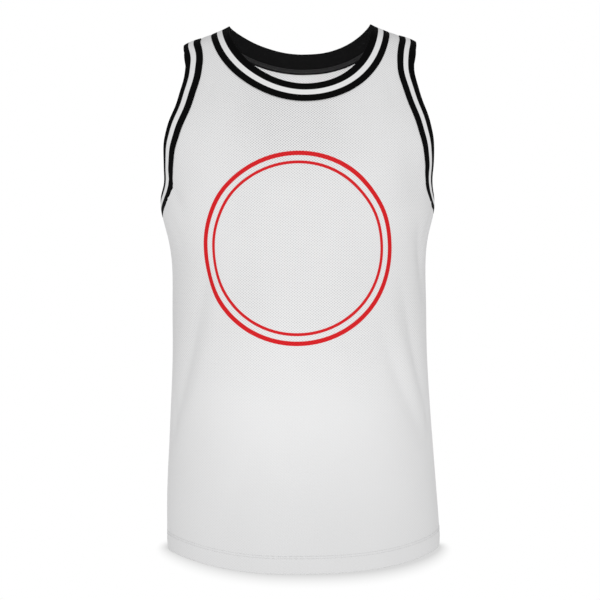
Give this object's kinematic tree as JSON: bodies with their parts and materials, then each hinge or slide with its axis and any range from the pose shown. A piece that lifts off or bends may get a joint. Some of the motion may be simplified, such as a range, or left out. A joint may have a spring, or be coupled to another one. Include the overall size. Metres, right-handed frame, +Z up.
{
  "type": "basketball jersey",
  "caption": "Sleeveless basketball jersey in white mesh knit, held in its worn shape with no wearer, with a round neck, deep armholes and black and white striped rib bands.",
  "frame": {"origin": "middle of the shoulder line, halfway along the two shoulder seams, where the wearer's shoulders carry the jersey", "axes": "+Z up, -Y out of the front, +X to the right of someone who looks at the front"},
  "size_m": [0.3823, 0.235, 0.739],
  "materials": {
    "white_mesh_knit": "white polyester mesh knit, small staggered eyelets, slight sheen",
    "striped_rib": "black rib knit with one white stripe along its middle, matt"
  },
  "bodies": {
    "root": {"front_panel": "white_mesh_knit", "back_panel": "white_mesh_knit", "neck_band": "striped_rib", "armhole_band_left": "striped_rib", "armhole_band_right": "striped_rib"}
  },
  "joints": []
}
